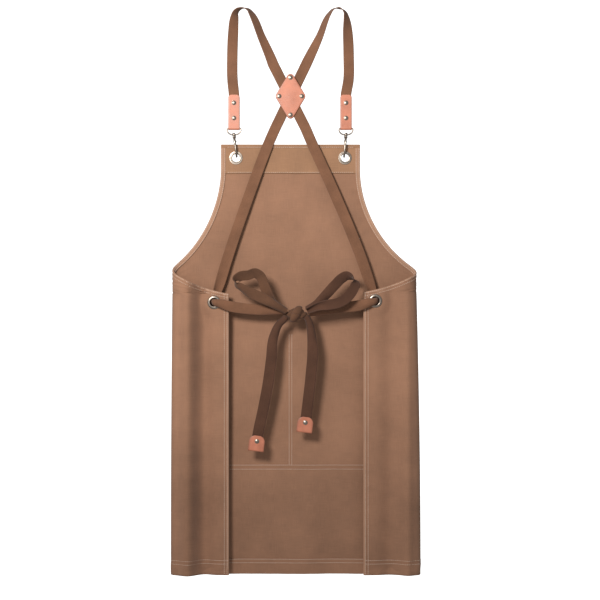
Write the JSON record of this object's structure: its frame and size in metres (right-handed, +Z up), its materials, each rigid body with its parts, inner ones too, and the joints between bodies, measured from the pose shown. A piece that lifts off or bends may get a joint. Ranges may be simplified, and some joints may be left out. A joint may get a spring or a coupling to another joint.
{
  "type": "butcher apron",
  "caption": "Cross-back canvas work apron on webbing straps with snap hooks, leather tabs and tips, metal eyelets, wrap-round skirt flaps and a tied bow.",
  "frame": {"origin": "midway between the two strap loops, at the height of the pegs' tops that they hang on, in the plane of the bib", "axes": "+Z up; +Y out of the apron's front, with the pocket; -Y towards the wearer, with the flaps and the bow; +X to the wearer's right"},
  "size_m": [0.4907, 0.0697, 1.1162],
  "materials": {
    "canvas": "brown cotton canvas, plain weave",
    "pocket_canvas": "brown cotton canvas, plain weave",
    "webbing": "dark brown herringbone cotton webbing",
    "tan_leather": "orange-tan smooth leather, cut edges",
    "antique_nickel": "antique nickel plate"
  },
  "bodies": {
    "apron": {"apron_canvas": "canvas", "bib_top_facing": "canvas", "front_pocket": "pocket_canvas", "left_bib_eyelet": "antique_nickel", "left_bib_washer": "antique_nickel", "left_waist_eyelet": "antique_nickel", "left_waist_washer": "antique_nickel", "left_strap": "webbing", "left_tab": "tan_leather", "left_tab_upper_rivet": "antique_nickel", "left_tab_lower_rivet": "antique_nickel", "left_bow_loop": "webbing", "right_bib_eyelet": "antique_nickel", "right_bib_washer": "antique_nickel", "right_waist_eyelet": "antique_nickel", "right_waist_washer": "antique_nickel", "right_strap": "webbing", "right_tab": "tan_leather", "right_tab_upper_rivet": "antique_nickel", "right_tab_lower_rivet": "antique_nickel", "right_bow_loop": "webbing", "cross_patch_outer": "tan_leather", "cross_patch_inner": "tan_leather", "cross_bottom_rivet": "antique_nickel", "cross_right_rivet": "antique_nickel", "cross_top_rivet": "antique_nickel", "cross_left_rivet": "antique_nickel", "bow_knot": "webbing"},
    "left_eye": {"left_swivel_eye": "antique_nickel"},
    "left_snap_hook": {"left_hook": "antique_nickel", "left_gate_pin": "antique_nickel"},
    "left_hook_gate": {"left_gate": "antique_nickel"},
    "left_tail": {"left_tie_tail": "webbing", "left_tip": "tan_leather", "left_tip_rivet": "antique_nickel"},
    "right_eye": {"right_swivel_eye": "antique_nickel"},
    "right_snap_hook": {"right_hook": "antique_nickel", "right_gate_pin": "antique_nickel"},
    "right_hook_gate": {"right_gate": "antique_nickel"},
    "right_tail": {"right_tie_tail": "webbing", "right_tip": "tan_leather", "right_tip_rivet": "antique_nickel"}
  },
  "joints": [
    {"name": "left_eye_tilt", "type": "hinge", "parent": "apron", "child": "left_eye", "pos_m": [-0.1113, 0, -0.236], "axis": [1, 0, 0], "range_deg": [-1.5, 1.5]},
    {"name": "left_hook_swivel", "type": "hinge", "parent": "left_eye", "child": "left_snap_hook", "pos_m": [-0.1113, 0, -0.249], "axis": [-0.1219, 0, 0.9925], "range_deg": [-12, 12]},
    {"name": "left_gate_open", "type": "hinge", "parent": "left_snap_hook", "child": "left_hook_gate", "pos_m": [-0.10978, 0.0092, -0.26141], "axis": [-0.9925, 0, -0.1219], "range_deg": [0, 12], "stiffness_Nm_per_rad": 0.02, "springref_deg": -17.19},
    {"name": "left_tail_swing", "type": "hinge", "parent": "apron", "child": "left_tail", "pos_m": [-0.0125, -0.037, -0.6125], "axis": [-1, 0, 0], "range_deg": [-3, 45]},
    {"name": "right_eye_tilt", "type": "hinge", "parent": "apron", "child": "right_eye", "pos_m": [0.1093, 0, -0.236], "axis": [1, 0, 0], "range_deg": [-1.5, 1.5]},
    {"name": "right_hook_swivel", "type": "hinge", "parent": "right_eye", "child": "right_snap_hook", "pos_m": [0.1093, 0, -0.249], "axis": [0.0872, 0, 0.9962], "range_deg": [-12, 12]},
    {"name": "right_gate_open", "type": "hinge", "parent": "right_snap_hook", "child": "right_hook_gate", "pos_m": [0.10821, 0.0092, -0.26145], "axis": [-0.9962, 0, 0.0872], "range_deg": [0, 12], "stiffness_Nm_per_rad": 0.02, "springref_deg": -17.19},
    {"name": "right_tail_swing", "type": "hinge", "parent": "apron", "child": "right_tail", "pos_m": [0.0345, -0.037, -0.6125], "axis": [-1, 0, 0], "range_deg": [-3, 45]}
  ]
}
